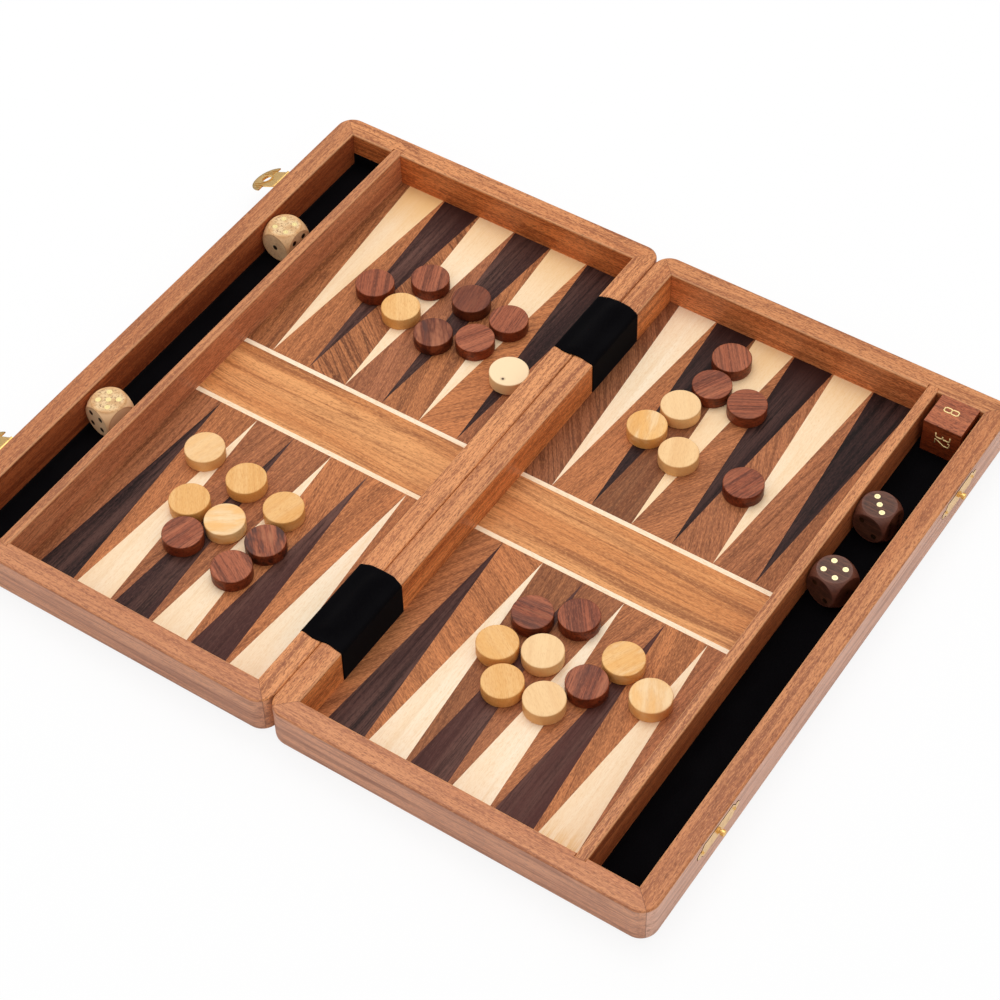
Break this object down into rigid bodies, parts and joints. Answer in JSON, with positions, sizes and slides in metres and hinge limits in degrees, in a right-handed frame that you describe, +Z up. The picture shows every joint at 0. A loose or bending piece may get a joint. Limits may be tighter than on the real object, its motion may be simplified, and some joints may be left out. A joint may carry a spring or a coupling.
{
  "type": "folding backgammon board",
  "caption": "Wooden backgammon board that folds in half on two brass hinges and latches shut as a case, lying open with its checkers, dice and doubling cube.",
  "frame": {"origin": "middle of the footprint at table height with the board lying open; drooping hasps and catch studs count, so the seam is at x = +8.5 mm", "axes": "+X from the left half to the right half, +Y from the near rails to the far rails along the seam, +Z up"},
  "size_m": [0.4688, 0.38, 0.0283],
  "materials": {
    "rail_wood": "satin",
    "base_wood": "satin",
    "ground_wood": "satin",
    "band_wood": "satin",
    "pale_veneer": "satin",
    "dark_veneer": "satin",
    "velvet": "matte",
    "brass": "polished",
    "pin_brass": "polished",
    "pale_checker_wood": "satin",
    "dark_checker_wood": "satin",
    "pale_die_wood": "satin",
    "dark_die_wood": "satin",
    "cube_wood": "satin"
  },
  "bodies": {
    "left_half": {"left_outer_rail": "rail_wood", "left_spine_rail": "rail_wood", "left_far_rail": "rail_wood", "left_near_rail": "rail_wood", "left_divider": "rail_wood", "left_base": "base_wood", "left_ground": "ground_wood", "left_pale_points": "pale_veneer", "left_dark_points": "dark_veneer", "left_stringing": "pale_veneer", "left_band": "band_wood", "left_lining": "velvet", "left_hinge_leaves": "brass", "left_hinge_screws": "brass", "left_latch_nails": "brass", "hinge_pins": "pin_brass", "near_cover_left": "velvet", "far_cover_left": "velvet", "hasp_plates": "brass", "hasp_pins": "pin_brass"},
    "right_half": {"right_outer_rail": "rail_wood", "right_spine_rail": "rail_wood", "right_far_rail": "rail_wood", "right_near_rail": "rail_wood", "right_divider": "rail_wood", "right_base": "base_wood", "right_ground": "ground_wood", "right_pale_points": "pale_veneer", "right_dark_points": "dark_veneer", "right_stringing": "pale_veneer", "right_band": "band_wood", "right_lining": "velvet", "right_hinge_leaves": "brass", "right_hinge_screws": "brass", "right_latch_nails": "brass", "near_cover_right": "velvet", "far_cover_right": "velvet", "catch_plates": "brass", "catch_studs": "brass"},
    "near_hasp": {"near_hasp": "brass"},
    "far_hasp": {"far_hasp": "brass"},
    "dark_checkers_far_left": {"dark_checkers_far_left": "dark_checker_wood"},
    "pale_checkers_far_left": {"pale_checkers_far_left": "pale_checker_wood"},
    "dark_checkers_near_left": {"dark_checkers_near_left": "dark_checker_wood"},
    "pale_checkers_near_left": {"pale_checkers_near_left": "pale_checker_wood"},
    "dark_checkers_far_right": {"dark_checkers_far_right": "dark_checker_wood"},
    "pale_checkers_far_right": {"pale_checkers_far_right": "pale_checker_wood"},
    "dark_checkers_near_right": {"dark_checkers_near_right": "dark_checker_wood"},
    "pale_checkers_near_right": {"pale_checkers_near_right": "pale_checker_wood"},
    "dark_die_far": {"dark_die_far": "dark_die_wood", "dark_die_far_pips": "brass"},
    "dark_die_near": {"dark_die_near": "dark_die_wood", "dark_die_near_pips": "brass"},
    "pale_die_far": {"pale_die_far": "pale_die_wood", "pale_die_far_pips": "brass"},
    "pale_die_near": {"pale_die_near": "pale_die_wood", "pale_die_near_pips": "brass"},
    "doubling_cube": {"doubling_cube": "cube_wood"}
  },
  "joints": [
    {"name": "fold", "type": "hinge", "parent": "left_half", "child": "right_half", "pos_m": [0.0085, 0, 0.027], "axis": [0, 1, 0], "range_deg": [-180, 0]},
    {"name": "near_hasp_swing", "type": "hinge", "parent": "left_half", "child": "near_hasp", "pos_m": [-0.2151, -0.126, 0.0235], "axis": [0, -1, 0], "range_deg": [-115, 60]},
    {"name": "far_hasp_swing", "type": "hinge", "parent": "left_half", "child": "far_hasp", "pos_m": [-0.2151, 0.1245, 0.0235], "axis": [0, -1, 0], "range_deg": [-115, 60]},
    {"name": "dark_checkers_far_left_lift", "type": "slide", "parent": "left_half", "child": "dark_checkers_far_left", "axis": [0, 0, 1], "range_m": [0, 0.03]},
    {"name": "pale_checkers_far_left_lift", "type": "slide", "parent": "left_half", "child": "pale_checkers_far_left", "axis": [0, 0, 1], "range_m": [0, 0.03]},
    {"name": "dark_checkers_near_left_lift", "type": "slide", "parent": "left_half", "child": "dark_checkers_near_left", "axis": [0, 0, 1], "range_m": [0, 0.03]},
    {"name": "pale_checkers_near_left_lift", "type": "slide", "parent": "left_half", "child": "pale_checkers_near_left", "axis": [0, 0, 1], "range_m": [0, 0.03]},
    {"name": "dark_checkers_far_right_lift", "type": "slide", "parent": "right_half", "child": "dark_checkers_far_right", "axis": [0, 0, 1], "range_m": [0, 0.03]},
    {"name": "pale_checkers_far_right_lift", "type": "slide", "parent": "right_half", "child": "pale_checkers_far_right", "axis": [0, 0, 1], "range_m": [0, 0.03]},
    {"name": "dark_checkers_near_right_lift", "type": "slide", "parent": "right_half", "child": "dark_checkers_near_right", "axis": [0, 0, 1], "range_m": [0, 0.03]},
    {"name": "pale_checkers_near_right_lift", "type": "slide", "parent": "right_half", "child": "pale_checkers_near_right", "axis": [0, 0, 1], "range_m": [0, 0.03]},
    {"name": "dark_die_far_lift", "type": "slide", "parent": "right_half", "child": "dark_die_far", "axis": [0, 0, 1], "range_m": [0, 0.03]},
    {"name": "dark_die_near_lift", "type": "slide", "parent": "right_half", "child": "dark_die_near", "axis": [0, 0, 1], "range_m": [0, 0.03]},
    {"name": "pale_die_far_lift", "type": "slide", "parent": "left_half", "child": "pale_die_far", "axis": [0, 0, 1], "range_m": [0, 0.03]},
    {"name": "pale_die_near_lift", "type": "slide", "parent": "left_half", "child": "pale_die_near", "axis": [0, 0, 1], "range_m": [0, 0.03]},
    {"name": "doubling_cube_lift", "type": "slide", "parent": "right_half", "child": "doubling_cube", "axis": [0, 0, 1], "range_m": [0, 0.03]}
  ]
}
